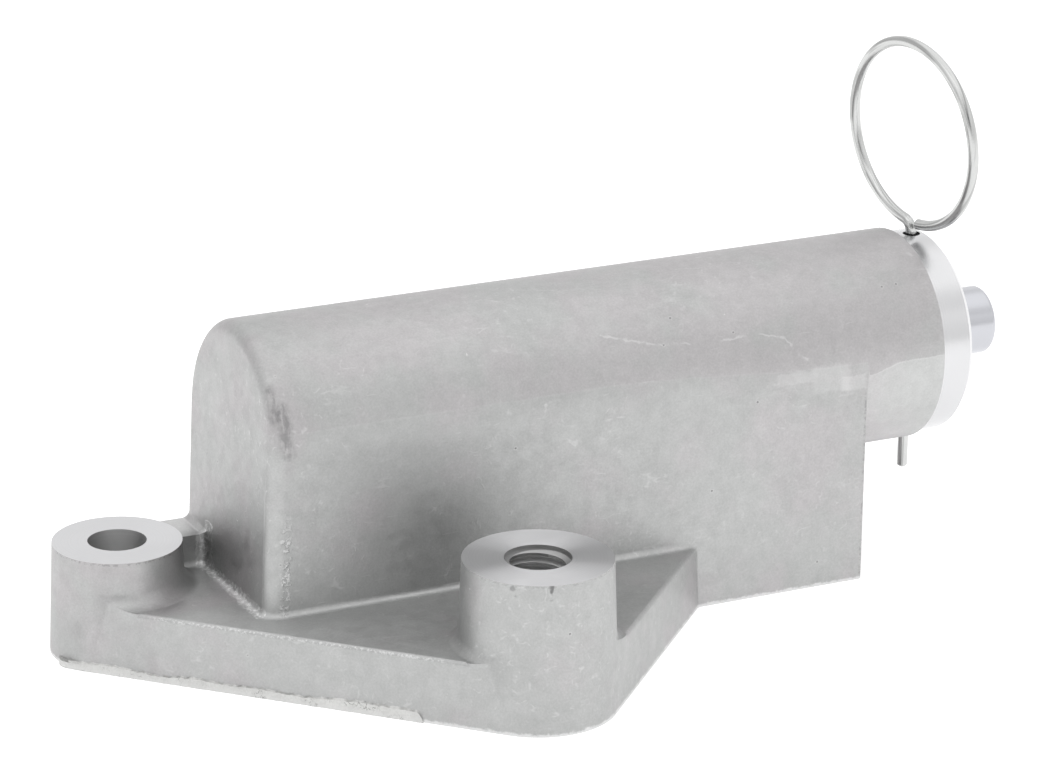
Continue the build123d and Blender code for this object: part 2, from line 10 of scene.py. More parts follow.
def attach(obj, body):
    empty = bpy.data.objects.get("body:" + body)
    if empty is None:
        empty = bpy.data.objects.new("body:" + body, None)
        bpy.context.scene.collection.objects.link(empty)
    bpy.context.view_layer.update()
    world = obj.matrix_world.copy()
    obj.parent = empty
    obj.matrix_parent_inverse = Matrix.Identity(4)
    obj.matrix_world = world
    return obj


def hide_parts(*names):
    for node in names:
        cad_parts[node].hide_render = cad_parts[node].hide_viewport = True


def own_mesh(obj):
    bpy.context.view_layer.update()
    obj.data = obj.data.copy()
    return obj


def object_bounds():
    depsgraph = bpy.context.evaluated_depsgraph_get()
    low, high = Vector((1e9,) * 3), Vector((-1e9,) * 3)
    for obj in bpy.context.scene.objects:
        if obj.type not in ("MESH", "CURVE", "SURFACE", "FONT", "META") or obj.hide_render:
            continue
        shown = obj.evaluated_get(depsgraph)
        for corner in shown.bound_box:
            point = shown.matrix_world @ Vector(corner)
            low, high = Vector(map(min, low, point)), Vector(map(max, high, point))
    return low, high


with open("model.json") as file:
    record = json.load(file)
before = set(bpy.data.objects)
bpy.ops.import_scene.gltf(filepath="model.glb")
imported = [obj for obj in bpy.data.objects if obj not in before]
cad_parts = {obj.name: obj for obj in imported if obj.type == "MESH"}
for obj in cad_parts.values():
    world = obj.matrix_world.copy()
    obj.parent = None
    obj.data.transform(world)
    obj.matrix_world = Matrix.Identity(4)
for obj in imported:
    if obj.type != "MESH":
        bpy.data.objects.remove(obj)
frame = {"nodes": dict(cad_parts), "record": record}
cad_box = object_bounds()

# The housing, one gravity casting in a hard aluminium alloy: half-round body on its block, foot, rib and
# two bosses. The boss tops, the collar, the bore and the base are machined, and the rest keeps its
# casting skin, with the trimmed flash. The front boss is drilled and tapped M10 x 1.5.
MM = 0.001
mounts = {mount["name"]: mount for mount in frame["record"]["mounts"]}
left_boss = Vector(mounts["fixing_bore"]["pos_m"])
left_bore_r = mounts["fixing_bore"]["dims"]["r_mm"] * MM
left_boss_r = 9.9 * MM
left_boss_top = mounts["fixing_bore"]["dims"]["length_mm"] * MM
front_boss = Vector(mounts["threaded_hole"]["pos_m"])
tapping_r = mounts["threaded_hole"]["dims"]["r_mm"] * MM
front_boss_r = 11.3 * MM
front_boss_top = 23.4 * MM
plunger_axis = Vector(mounts["plunger_tip"]["pos_m"])
body_r = 17.0 * MM
body_left = 16.0 * MM
block_end = 117.0 * MM
collar_start = 131.0 * MM
collar_r = 16.3 * MM
bore_floor = 26.0 * MM
foot_top = 10.3 * MM
near_wall = plunger_axis.y - body_r
draft = math.tan(math.radians(2.2))
upward = Vector((0, 0, 1))
outward = Vector((1, 0, 0))
weld_reach = 0.002 * MM
smooth_angle = math.radians(28)


def only(piece):
    """Selects one object alone and makes it the active one."""
    bpy.ops.object.select_all(action="DESELECT")
    piece.select_set(True)
    bpy.context.view_layer.objects.active = piece


housing = bpy.data.objects.new("cast_housing", frame["nodes"]["housing"].data.copy())
bpy.context.scene.collection.objects.link(housing)
only(housing)
bpy.ops.object.mode_set(mode="EDIT")
bpy.ops.mesh.select_all(action="SELECT")
bpy.ops.mesh.remove_doubles(threshold=weld_reach)
bpy.ops.object.mode_set(mode="OBJECT")
bpy.ops.mesh.customdata_custom_splitnormals_clear()

# The trimmed flash is a ragged strip, half as high again as the land under it and sunk into the foot's
# front wall. Its left end is round and runs out on the boss.
flash_start = -4.9 * MM
flash_end = 53.6 * MM
flash_low = 1.45 * MM
flash_high = 1.75 * MM
flash_proud = 0.27 * MM
flash_sunk = 1.4 * MM
flash_round = 2.5 * MM
flash_rise = 2.0 * MM
flash_run_out = 1.7 * MM
flash_least = 0.03
flash_columns = 260
flash_rows = 6
under_skin = 0.1 * MM
left_base_r = left_boss_r + left_boss_top * draft
front_base_r = front_boss_r + front_boss_top * draft
boss_line = (front_boss - left_boss).xy
wall_turn = math.atan2(boss_line.y, boss_line.x) - math.pi / 2
wall_turn += math.asin((left_base_r - front_base_r) / boss_line.length)
wall_facing = Vector((math.cos(wall_turn), math.sin(wall_turn), 0))
wall_run = Vector((-wall_facing.y, wall_facing.x, 0))


def noise_at(along, up, aside):
    """A smooth random value about 0, the same each time."""
    return noise_field.noise(Vector((along, up, aside)))


bpy.ops.mesh.primitive_grid_add(
    x_subdivisions=flash_columns, y_subdivisions=flash_rows, size=1.0, location=(0, 0, 0)
)
strip = bpy.context.object
for vertex in strip.data.vertices:
    share_along = vertex.co.x + 0.5
    share_up = vertex.co.y + 0.5
    along = flash_start + share_along * (flash_end - flash_start)
    in_mm = along / MM
    first = max(0.0, flash_start + flash_round - along)
    proud = flash_proud - flash_round + math.sqrt(flash_round**2 - first**2)
    fine = 0.35 * noise_at(in_mm / 0.5, share_up * 2.6, 9.7)
    proud *= 1 + fine + 0.25 * noise_at(in_mm / 2.2, share_up, 3.1)
    last = max(0.0, 1 - (flash_end - along) / flash_run_out)
    tapered = min(1.0, 0.3 + (along - flash_start) / flash_rise) * math.sqrt(max(0.0, 1 - last**2))
    height = flash_low + share_along * (flash_high - flash_low)
    height *= 1 + 0.35 * noise_at(in_mm / 8, 0.3, 0.0) + 0.16 * noise_at(in_mm / 0.9, 5.1, 0.0)
    height *= max(tapered, flash_least)
    proud = -under_skin if share_up > 0.99 else proud
    foot_of_wall = left_boss + wall_facing * (left_base_r + proud - height * share_up * draft)
    vertex.co = foot_of_wall + wall_run * along + upward * height * share_up
    vertex.co.x = max(vertex.co.x, cad_box[0][0])
only(strip)
bpy.ops.object.mode_set(mode="EDIT")
bpy.ops.mesh.select_all(action="SELECT")
bpy.ops.mesh.extrude_region_move(TRANSFORM_OT_translate={"value": -flash_sunk * wall_facing})
bpy.ops.mesh.select_all(action="SELECT")
bpy.ops.mesh.normals_make_consistent(inside=False)
bpy.ops.object.mode_set(mode="OBJECT")

# The tap: one pitch of its profile, wound up through the whole boss, with both ends closed.
thread_pitch = 1.5 * MM
thread_root_r = 5.0 * MM
thread_root_flat = thread_pitch / 8
thread_half_angle = math.radians(30)
tap_undersize = 0.1 * MM
tap_core_r = tapping_r - tap_undersize
tap_depth = thread_root_r - tap_core_r
tap_flank = tap_depth * math.tan(thread_half_angle)
tap_gap = thread_pitch - thread_root_flat - 2 * tap_flank
tap_steps = 72
tap_spare_turns = 3
tap_turns = math.ceil(front_boss_top / thread_pitch) + tap_spare_turns
tap_start = (front_boss.x, front_boss.y, -tap_spare_turns / 2 * thread_pitch)
fine_weld_reach = 0.001 * MM
bpy.ops.mesh.primitive_plane_add(size=MM, location=tap_start)
tap = bpy.context.object
bpy.ops.object.mode_set(mode="EDIT")
bpy.ops.mesh.select_mode(type="VERT")
bpy.ops.mesh.select_all(action="SELECT")
bpy.ops.mesh.merge(type="CENTER")
bpy.ops.transform.translate(value=(tap_core_r, 0, 0))
for across, rise in ((0, tap_gap), (tap_depth, tap_flank), (0, thread_root_flat), (-tap_depth, tap_flank)):
    bpy.ops.mesh.extrude_region_move(TRANSFORM_OT_translate={"value": (across, 0, rise)})
bpy.ops.object.mode_set(mode="OBJECT")
winding = tap.modifiers.new("winding", "SCREW")
winding.screw_offset = thread_pitch
winding.iterations = tap_turns
winding.steps = tap_steps
winding.render_steps = tap_steps
bpy.ops.object.modifier_apply(modifier=winding.name)
bpy.ops.object.mode_set(mode="EDIT")
bpy.ops.mesh.select_all(action="SELECT")
bpy.ops.mesh.remove_doubles(threshold=fine_weld_reach)
half_way = tap_turns * thread_pitch / 2
for low_end in (True, False):
    bpy.ops.mesh.select_all(action="DESELECT")
    bpy.ops.mesh.select_non_manifold(extend=False, use_wire=False)
    bpy.ops.object.mode_set(mode="OBJECT")
    for vertex in tap.data.vertices:
        vertex.select = vertex.select and (vertex.co.z < half_way) == low_end
    for edge in tap.data.edges:
        edge.select = edge.select and all(tap.data.vertices[i].select for i in edge.vertices)
    bpy.ops.object.mode_set(mode="EDIT")
    bpy.ops.mesh.extrude_region_move(TRANSFORM_OT_translate={"value": (0, 0, 0)})
    bpy.ops.mesh.merge(type="CENTER")
bpy.ops.mesh.select_all(action="SELECT")
bpy.ops.mesh.normals_make_consistent(inside=False)
bpy.ops.object.mode_set(mode="OBJECT")

only(housing)
for tool, operation in ((strip, "UNION"), (tap, "DIFFERENCE")):
    joining = housing.modifiers.new("joining", "BOOLEAN")
    joining.operation = operation
    joining.solver = "EXACT"
    joining.object = tool
    bpy.ops.object.modifier_apply(modifier=joining.name)
    bpy.data.objects.remove(tool)
bpy.ops.object.shade_smooth_by_angle(angle=smooth_angle)


def add(tree, kind, feeds=None, **settings):
    """A new node: its settings first, then each input from another node's socket or a plain value."""
    node = tree.nodes.new(kind)
    for name, value in settings.items():
        setattr(node, name, value)
    for key, value in (feeds or {}).items():
        if isinstance(value, bpy.types.NodeSocket):
            tree.links.new(value, node.inputs[key])
        else:
            node.inputs[key].default_value = value
    return node


def maths(tree, operation, first, second=0.0):
    """The result of one operation on two values."""
    return add(tree, "ShaderNodeMath", {0: first, 1: second}, operation=operation).outputs[0]


def times(tree, first, *others):
    """Several values multiplied."""
    for other in others:
        first = maths(tree, "MULTIPLY", first, other)
    return first


def vectors(tree, operation, first, second=(0.0, 0.0, 0.0)):
    """The result of one operation on two vectors: a number for dot, length and distance."""
    node = add(tree, "ShaderNodeVectorMath", {0: first, 1: second}, operation=operation)
    return node.outputs["Value" if operation in ("DOT_PRODUCT", "LENGTH", "DISTANCE") else "Vector"]


def toned(tree, colour, factor):
    """A colour or vector made larger or smaller by a factor that changes over the surface."""
    node = add(tree, "ShaderNodeVectorMath", {0: colour, "Scale": factor}, operation="SCALE")
    return node.outputs["Vector"]


def ramp(tree, value, low, high, out_low=0.0, out_high=1.0):
    """A value moved from one range to another, with soft ends."""
    feeds = {"Value": value, "From Min": low, "From Max": high, "To Min": out_low, "To Max": out_high}
    return add(tree, "ShaderNodeMapRange", feeds, interpolation_type="SMOOTHSTEP").outputs["Result"]


def band(tree, value, middle, half_width, fade):
    """1 where a value is near the middle, falling to 0 on both sides."""
    away = maths(tree, "ABSOLUTE", maths(tree, "SUBTRACT", value, middle))
    return ramp(tree, away, half_width, half_width + fade, 1.0, 0.0)


def noise(tree, place, size, detail=2.0, roughness=0.5):
    """A cloudy pattern with patches of about that size, near 0.5 on average."""
    feeds = {"Vector": place, "Scale": 1 / size, "Detail": detail, "Roughness": roughness}
    return add(tree, "ShaderNodeTexNoise", feeds).outputs["Fac"]


def shaken(tree, place, size, reach):
    """Coordinates pushed about by up to a reach, so that what is laid on them gets a ragged edge."""
    push = add(tree, "ShaderNodeTexNoise", {"Vector": place, "Scale": 1 / size}).outputs["Color"]
    push = vectors(tree, "SUBTRACT", push, (0.5, 0.5, 0.5))
    return vectors(tree, "ADD", place, toned(tree, push, 2 * reach))


def drawn_out(tree, place, turn, stretch):
    """Coordinates turned and drawn out, so that a pattern on them becomes streaks."""
    feeds = {"Vector": place, "Rotation": turn, "Scale": stretch}
    return add(tree, "ShaderNodeMapping", feeds).outputs["Vector"]


def new_group(name, inputs, outputs):
    """An empty shader node group, with a Vector input, value inputs and value outputs."""
    tree = bpy.data.node_groups.new(name, "ShaderNodeTree")
    tree.interface.new_socket("Vector", in_out="INPUT", socket_type="NodeSocketVector")
    for label in inputs:
        tree.interface.new_socket(label, in_out="INPUT", socket_type="NodeSocketFloat")
    for label in outputs:
        tree.interface.new_socket(label, in_out="OUTPUT", socket_type="NodeSocketFloat")
    return tree, add(tree, "NodeGroupInput").outputs, add(tree, "NodeGroupOutput").inputs


def placed(tree, group, feeds):
    """The outputs of a group that is placed in a material with its own values."""
    return add(tree, "ShaderNodeGroup", feeds, node_tree=group).outputs


# Tone of bare metal, about 1: slow clouds, mottling and fine speckle, each with its own strength.
metal_tone, given, out = new_group("metal_tone", ("Clouds", "Mottle", "Speckle"), ("Tone",))
total = 1.0
for label, size, detail in (("Clouds", 14 * MM, 2.0), ("Mottle", 1.7 * MM, 3.0), ("Speckle", 0.3 * MM, 2.0)):
    patch = noise(metal_tone, given["Vector"], size, detail, 0.6)
    swing = times(metal_tone, maths(metal_tone, "SUBTRACT", patch, 0.5), given[label])
    total = maths(metal_tone, "ADD", swing, total)
metal_tone.links.new(total, out["Tone"])


def bare_tone(tree, place, clouds, mottle, speckle):
    """The tone of bare metal on one material, with the strength of each of its patterns."""
    feeds = {"Vector": place, "Clouds": clouds, "Mottle": mottle, "Speckle": speckle}
    return placed(tree, metal_tone, feeds)["Tone"]


# Marks of handling: small soft dents, thin straight scratches and short curved scuffs.
dent_spacing = 2.6 * MM
scratch_width = 0.32 * MM
mark_kinds = ("Dents", "Scratches", "Scuffs")
handling, given, out = new_group("handling_marks", ("Dent share", "Scratch level"), mark_kinds)
place = given["Vector"]
uneven = shaken(handling, place, 0.4 * MM, 0.25 * MM)
cells = add(handling, "ShaderNodeTexVoronoi", {"Vector": uneven, "Scale": 1 / dent_spacing})
chance = add(handling, "ShaderNodeSeparateColor", {"Color": cells.outputs["Color"]}).outputs
dent_size = ramp(handling, chance["Green"], 0.0, 1.0, 0.03, 0.10)
dents = maths(handling, "SUBTRACT", 1.0, maths(handling, "DIVIDE", cells.outputs["Distance"], dent_size))
dents = times(handling, ramp(handling, dents, 0.0, 0.6), ramp(handling, chance["Blue"], 0.0, 1.0, 0.25, 1.0))
chosen = maths(handling, "LESS_THAN", chance["Red"], given["Dent share"])
handling.links.new(times(handling, dents, chosen), out["Dents"])
scratches = 0.0
for turn, aside in (((0.3, 0.2, 0.9), 0.0), ((0.9, 1.3, 0.2), 3.7), ((1.7, 0.5, 2.2), 8.1)):
    run = drawn_out(handling, place, turn, (0.05, 1.0, 1.0))
    line = noise(handling, vectors(handling, "ADD", run, (aside, aside, aside)), scratch_width, 1.0)
    line = maths(handling, "GREATER_THAN", line, given["Scratch level"])
    scratches = maths(handling, "MAXIMUM", line, scratches)
handling.links.new(scratches, out["Scratches"])
scuffs = 0.0
for stretch, size, aside in (((1.0, 1.0, 1.0), 2.6 * MM, 0.0), ((0.4, 1.0, 1.0), 2.0 * MM, 4.4)):
    run = drawn_out(handling, place, (0.0, 0.0, aside / 10), stretch)
    run = vectors(handling, "ADD", run, (aside, aside, aside))
    contour = band(handling, noise(handling, run, size, 1.6), 0.5, 0.003, 0.036)
    broken = ramp(handling, noise(handling, run, 1.5 * MM, 2.0), 0.55, 0.70)
    scuffs = maths(handling, "MAXIMUM", times(handling, contour, broken), scuffs)
handling.links.new(scuffs, out["Scuffs"])


def laid_over(tree, below, above, mask, strength=1.0):
    """One colour laid over another where a mask says so."""
    node = add(tree, "ShaderNodeMix", {0: times(tree, mask, strength)}, data_type="RGBA")
    colours = [socket for socket in node.inputs if socket.type == "RGBA"]
    if isinstance(below, bpy.types.NodeSocket):
        tree.links.new(below, colours[0])
    else:
        colours[0].default_value = (*below, 1.0)
    colours[1].default_value = (*above, 1.0)
    return [socket for socket in node.outputs if socket.type == "RGBA"][0]


def new_metal(name, metallic=1.0):
    """A material with one Principled shader, and the piece's own coordinates to lay patterns on."""
    material = bpy.data.materials.new(name)
    material.use_nodes = True
    tree = material.node_tree
    tree.nodes.clear()
    shader = add(tree, "ShaderNodeBsdfPrincipled", {"Metallic": metallic})
    add(tree, "ShaderNodeOutputMaterial", {"Surface": shader.outputs["BSDF"]})
    return material, tree, shader.inputs, add(tree, "ShaderNodeTexCoord").outputs["Object"]


def raised(tree, shader, height, distance):
    """Gives a shader its relief."""
    bump = add(tree, "ShaderNodeBump", {"Distance": distance, "Height": height})
    tree.links.new(bump.outputs["Normal"], shader["Normal"])


def near_point(tree, place, point, reach, fade):
    """1 round a point on the surface, falling to 0 past its reach."""
    return ramp(tree, vectors(tree, "DISTANCE", place, point), reach - fade, reach + fade, 1.0, 0.0)


def from_line(tree, place, points):
    """How far a place lies from a line through some points, given in millimetres."""
    nearest = 1.0
    for start, end in zip(points, points[1:]):
        start, run = Vector(start) * MM, (Vector(end) - Vector(start)) * MM
        arm = vectors(tree, "SUBTRACT", place, start)
        share = vectors(tree, "DOT_PRODUCT", arm, run / run.length_squared)
        share = add(tree, "ShaderNodeClamp", {"Value": share}).outputs[0]
        nearest = maths(tree, "MINIMUM", vectors(tree, "DISTANCE", arm, toned(tree, run, share)), nearest)
    return nearest


pale = (0.74, 0.74, 0.74)
torn = (0.95, 0.95, 0.95)
dark = (0.14, 0.14, 0.14)
rib_level = 18 * MM
rib_end = 15 * MM


def on_casting(tree, place):
    """What the casting's marks are laid out by: coordinates, ragged patterns and the parting line."""
    at = SimpleNamespace(place=place)
    at.x, at.y, at.z = add(tree, "ShaderNodeSeparateXYZ", {"Vector": place}).outputs
    at.ragged = noise(tree, place, 1.0 * MM, 3.0, 0.65)
    at.crumbly = ramp(tree, noise(tree, place, 0.42 * MM, 3.0, 0.6), 0.50, 0.58)
    at.lumps = ramp(tree, noise(tree, place, 0.8 * MM, 3.0, 0.65), 0.50, 0.58)
    at.uneven = shaken(tree, place, 1.1 * MM, 0.5 * MM)
    at.near_side = ramp(tree, at.y, near_wall + 9 * MM, near_wall + 6 * MM)
    at.on_near_wall = ramp(tree, at.y, near_wall + 0.7 * MM, near_wall + 0.3 * MM)
    at.past_block = ramp(tree, at.x, block_end, block_end + 0.4 * MM)

    # The parting line wanders along the near side and steps down past the block.
    level = plunger_axis.z
    on_block = ramp(tree, at.x, 70 * MM, block_end, level + 4.2 * MM, level + 1.8 * MM)
    on_barrel = ramp(tree, at.x, block_end, block_end + 7 * MM, level - 0.4 * MM, level + 1.1 * MM)
    step_down = times(tree, maths(tree, "SUBTRACT", on_barrel, on_block), at.past_block)
    parting = maths(tree, "ADD", maths(tree, "ADD", on_block, step_down), times(tree, at.ragged, 0.5 * MM))
    at.above_line = maths(tree, "SUBTRACT", at.z, parting)
    return at


def bare_skin(tree, at):
    """The casting's own grey: paler and less warm under the parting line, with painted light on foot and rib.
    """
    tone = bare_tone(tree, at.place, 0.14, 0.17, 0.30)
    below = times(tree, ramp(tree, at.above_line, 0.25 * MM, -0.25 * MM), at.near_side)
    tone = maths(tree, "ADD", tone, times(tree, below, ramp(tree, at.past_block, 0.0, 1.0, 0.02, 0.16)))
    facing = add(tree, "ShaderNodeNewGeometry").outputs["Normal"]
    # Painted light: the up-facing faces of the foot's top and the rib's top are made paler.
    facing_up = ramp(tree, vectors(tree, "DOT_PRODUCT", facing, upward), 0.9, 0.98)
    painted_foot_light = times(tree, band(tree, at.z, foot_top, 0.3 * MM, 0.1 * MM), facing_up)
    tone = maths(tree, "ADD", tone, times(tree, painted_foot_light, ramp(tree, at.y, -40 * MM, -28 * MM, -0.05, 0.15)))
    by_rib = ramp(tree, at.x, rib_end + 0.5 * MM, rib_end - 0.5 * MM)
    painted_rib_light = times(tree, band(tree, at.z, rib_level, 3.5 * MM, 0.5 * MM), by_rib, facing_up)
    tone = maths(tree, "ADD", tone, times(tree, painted_rib_light, 0.28))
    warmth = maths(tree, "SUBTRACT", noise(tree, at.place, 9 * MM, 3.0), times(tree, below, 0.15))
    warmth = maths(tree, "ADD", warmth, times(tree, ramp(tree, at.x, 60 * MM, 95 * MM), 0.12))
    skin = laid_over(tree, (0.445, 0.449, 0.446), (0.458, 0.447, 0.452), ramp(tree, warmth, 0.35, 0.65))
    return toned(tree, skin, tone)


# Pale patches beside the parting line, near the block's end: the middle of each and half its size, along
# and up, in millimetres.
pale_patches = (((104.2, 35.6), (3.4, 1.0)), ((110.6, 34.7), (3.3, 2.2)), ((114.6, 33.4), (2.2, 1.2)))
any_depth = 1000


def parting_marks(tree, at, colour):
    """The parting line's fine ridge, and the pale ragged patches beside it."""
    ridge = times(tree, band(tree, at.above_line, 0.0, 0.06 * MM, 0.14 * MM), at.near_side)
    colour = laid_over(tree, colour, pale, ridge, ramp(tree, at.past_block, 0.0, 1.0, 0.06, 0.24))
    for middle, half in pale_patches:
        away = vectors(tree, "SUBTRACT", at.uneven, Vector((middle[0], 0, middle[1])) * MM)
        half_size = Vector((half[0], any_depth, half[1])) * MM
        away = vectors(tree, "ABSOLUTE", vectors(tree, "DIVIDE", away, half_size))
        across, _, up = add(tree, "ShaderNodeSeparateXYZ", {"Vector": away}).outputs
        patch = ramp(tree, maths(tree, "MAXIMUM", across, up), 1.15, 0.85)
        colour = laid_over(tree, colour, pale, times(tree, patch, at.near_side), 0.17)
    return colour


# Where scuffs gather, with the reach of each place, and the lines of the gouges, in millimetres.
scuffed_places = (((44, -56, 13), 13), ((17, -21, 40), 11), ((22, -22, 20), 12))
gouge_lines = (
    ((72.1, -18.4, 45.8), (80.7, -20.2, 43.6), (86.6, -20.4, 43.1)),
    ((91.7, -20.6, 42.8), (96.1, -20.5, 43.0)),
    ((98.8, -20.5, 43.1), (102.9, -21.1, 41.9), (104.7, -22.1, 39.3), (107.1, -22.5, 38.0)),
    ((41.5, -55.7, 20.8), (42.8, -56.6, 19.7), (44.2, -57.1, 19.5)),
)


def handled(tree, at, colour, marks):
    """Scuffs, mostly on the front boss and the left end's rim, and scratches, dents and gouges."""
    patches = ramp(tree, noise(tree, at.place, 16 * MM, 2.0), 0.42, 0.62, 0.2, 0.8)
    for centre, reach in scuffed_places:
        near = near_point(tree, at.place, Vector(centre) * MM, reach * MM, 5 * MM)
        patches = maths(tree, "MAXIMUM", patches, near)
    colour = laid_over(tree, colour, pale, times(tree, marks["Scuffs"], patches), 0.30)
    colour = laid_over(tree, colour, pale, marks["Scratches"], 0.2)
    colour = laid_over(tree, colour, (0.9, 0.9, 0.9), marks["Dents"], 0.5)
    gouges = 1.0
    for line in gouge_lines:
        gouges = maths(tree, "MINIMUM", from_line(tree, at.uneven, line), gouges)
    gouges = ramp(tree, gouges, 0.08 * MM, 0.26 * MM, 1.0, 0.0)
    gouges = times(tree, gouges, ramp(tree, noise(tree, at.place, 2.4 * MM, 2.0), 0.32, 0.52))
    return laid_over(tree, colour, pale, gouges, 0.33)


def worn_corner(tree, at, colour):
    """The left end's near corner: a fine pale line, and a row of ragged spots, whose mask it gives too."""
    from_end = times(tree, maths(tree, "SUBTRACT", at.z, plunger_axis.z), draft)
    from_end = maths(tree, "SUBTRACT", maths(tree, "SUBTRACT", at.x, from_end), body_left)
    upright = times(tree, ramp(tree, at.z, 33 * MM, 29 * MM), ramp(tree, at.z, foot_top, foot_top + 0.6 * MM))
    line = band(tree, at.y, near_wall + 2.3 * MM, 0.05 * MM, 0.2 * MM)
    line = times(tree, line, ramp(tree, from_end, 0.5 * MM, 0.2 * MM), upright)
    colour = laid_over(tree, colour, pale, line, 0.30)
    spots = maths(tree, "ADD", from_end, times(tree, at.ragged, 2.0 * MM))
    spots = band(tree, spots, 3.7 * MM, 0.5 * MM, 0.5 * MM)
    spots = times(tree, spots, at.on_near_wall, at.lumps, upright, ramp(tree, at.z, 29 * MM, 20 * MM))
    return laid_over(tree, colour, pale, spots, 0.6), spots


def corner_scars(tree, at, colour):
    """Rough scars in the corners in which the left end meets the foot and the rib, and their mask."""
    to_foot = vectors(tree, "MULTIPLY", at.place, (1, 0, 1))
    to_foot = vectors(tree, "DISTANCE", to_foot, (14.7 * MM, 0, 10.6 * MM))
    to_foot = maths(tree, "ADD", to_foot, ramp(tree, at.y, 0.5 * MM, -1 * MM, 5 * MM, 0))
    past_wall = ramp(tree, at.y, near_wall - 0.5 * MM, near_wall + 1.5 * MM, 5 * MM, 0)
    to_foot = maths(tree, "ADD", to_foot, past_wall)
    to_rib = vectors(tree, "MULTIPLY", at.place, (1, 1, 0))
    to_rib = vectors(tree, "DISTANCE", to_rib, (14.9 * MM, 1.0 * MM, 0))
    to_rib = maths(tree, "ADD", to_rib, ramp(tree, at.z, 17 * MM, 19 * MM, -0.8 * MM, 5 * MM))
    scar = maths(tree, "ADD", maths(tree, "MINIMUM", to_foot, to_rib), times(tree, at.ragged, 1.8 * MM))
    scar = ramp(tree, scar, 2.0 * MM, 1.5 * MM)
    broken = times(tree, scar, ramp(tree, at.lumps, 0.0, 1.0, 0.25, 1.0))
    return laid_over(tree, colour, torn, broken, 0.6), scar


def burr_and_edge_highlight(tree, at, colour):
    """A thin bright burr round the base, and a broken pale line along the foot's upper edge: edge wear and a
    painted highlight.
    """
    burr = maths(tree, "ADD", at.z, times(tree, at.ragged, 1.0 * MM))
    colour = laid_over(tree, colour, (0.88, 0.88, 0.88), ramp(tree, burr, 1.15 * MM, 0.75 * MM), 0.55)
    # The foot's upper edge: edge wear, and a painted highlight along it.
    front = boss_line.normalized()
    outer = ramp(tree, vectors(tree, "DOT_PRODUCT", at.place, (front.y, -front.x, 0)), 5 * MM, 8 * MM)
    edge = times(tree, band(tree, at.z, foot_top - 0.35 * MM, 0.12 * MM, 0.18 * MM), outer, at.crumbly)
    for boss, reach in ((left_boss, 13 * MM), (front_boss, 14 * MM)):
        away = vectors(tree, "DISTANCE", at.place, (boss.x, boss.y, foot_top))
        edge = times(tree, edge, ramp(tree, away, reach, reach + 3 * MM))
    return laid_over(tree, colour, torn, edge, 0.32)


# The pits that the photo shows, in millimetres, and the spacing of those that a pattern strews.
pit_places = (
    (89.7, -22.9, 19.2), (109.0, -22.9, 4.2), (97.4, -22.9, 32.7), (82.1, -20.3, 43.4),
    (47.9, -57.9, 15.7), (51.8, -57.4, 8.2), (43.4, -56.8, 5.1), (-2.8, -10.0, 2.1),
)
pit_spacing = 3.1 * MM


def pits_and_pores(tree, at, colour):
    """Dark pits with a paler rim, and their mask, a dark line of painted shade on the block's end, and the
    bosses' pores.
    """
    pits = add(tree, "ShaderNodeTexVoronoi", {"Vector": at.place, "Scale": 1 / pit_spacing}).outputs
    picked = add(tree, "ShaderNodeSeparateColor", {"Color": pits["Color"]}).outputs["Blue"]
    left_out = maths(tree, "GREATER_THAN", picked, 0.13)
    to_pit = maths(tree, "ADD", times(tree, pits["Distance"], pit_spacing), left_out)
    for pit in pit_places:
        to_pit = maths(tree, "MINIMUM", vectors(tree, "DISTANCE", at.place, Vector(pit) * MM), to_pit)
    colour = laid_over(tree, colour, pale, ramp(tree, to_pit, 0.45 * MM, 0.2 * MM), 0.22)
    pit_mask = ramp(tree, to_pit, 0.22 * MM, 0.1 * MM)
    colour = laid_over(tree, colour, dark, pit_mask, 0.55)
    # Painted shade: a dark line along the block's end edge, where its end face falls into shade.
    painted_end_shade = band(tree, at.x, block_end - 0.2 * MM, 0.1 * MM, 0.15 * MM)
    painted_end_shade = times(tree, painted_end_shade, at.on_near_wall, at.crumbly, ramp(tree, at.z, 32 * MM, 30 * MM))
    colour = laid_over(tree, colour, dark, painted_end_shade, 0.3)
    pores = maths(tree, "GREATER_THAN", noise(tree, at.place, 0.5 * MM, 2.0), 0.56)
    for boss, top, strength in ((left_boss, left_boss_top, 0.35), (front_boss, front_boss_top, 0.22)):
        near = near_point(tree, at.place, (boss.x, boss.y, top), 12.5 * MM, 0.5 * MM)
        rim = band(tree, at.z, top - 0.25 * MM, 0.1 * MM, 0.12 * MM)
        colour = laid_over(tree, colour, dark, times(tree, rim, near, pores), strength)
    return colour, pit_mask


# Dark marks, in millimetres: lines along the left end's rim, each with a reach and a strength, and spots
# under the front boss's edge, each with how slim and how short it is and its strength.
smudge_lines = (
    (((17.4, -18.8, 45.2), (17.3, -20.3, 43.0), (17.3, -21.2, 41.0)), 1.3, 0.44),
    (((18.6, -20.9, 42.4), (18.7, -22.2, 39.4), (18.5, -22.7, 37.2), (18.9, -22.8, 36.0)), 1.6, 0.50),
)
boss_spots = (
    ((45.1, -57.4, 22.6), 2.2, 0.8, 0.8), ((45.2, -57.5, 21.0), 2.2, 2.6, 0.5),
    ((40.1, -54.5, 22.9), 1.8, 1.8, 0.5), ((40.5, -54.9, 21.5), 2.2, 2.2, 0.45),
)


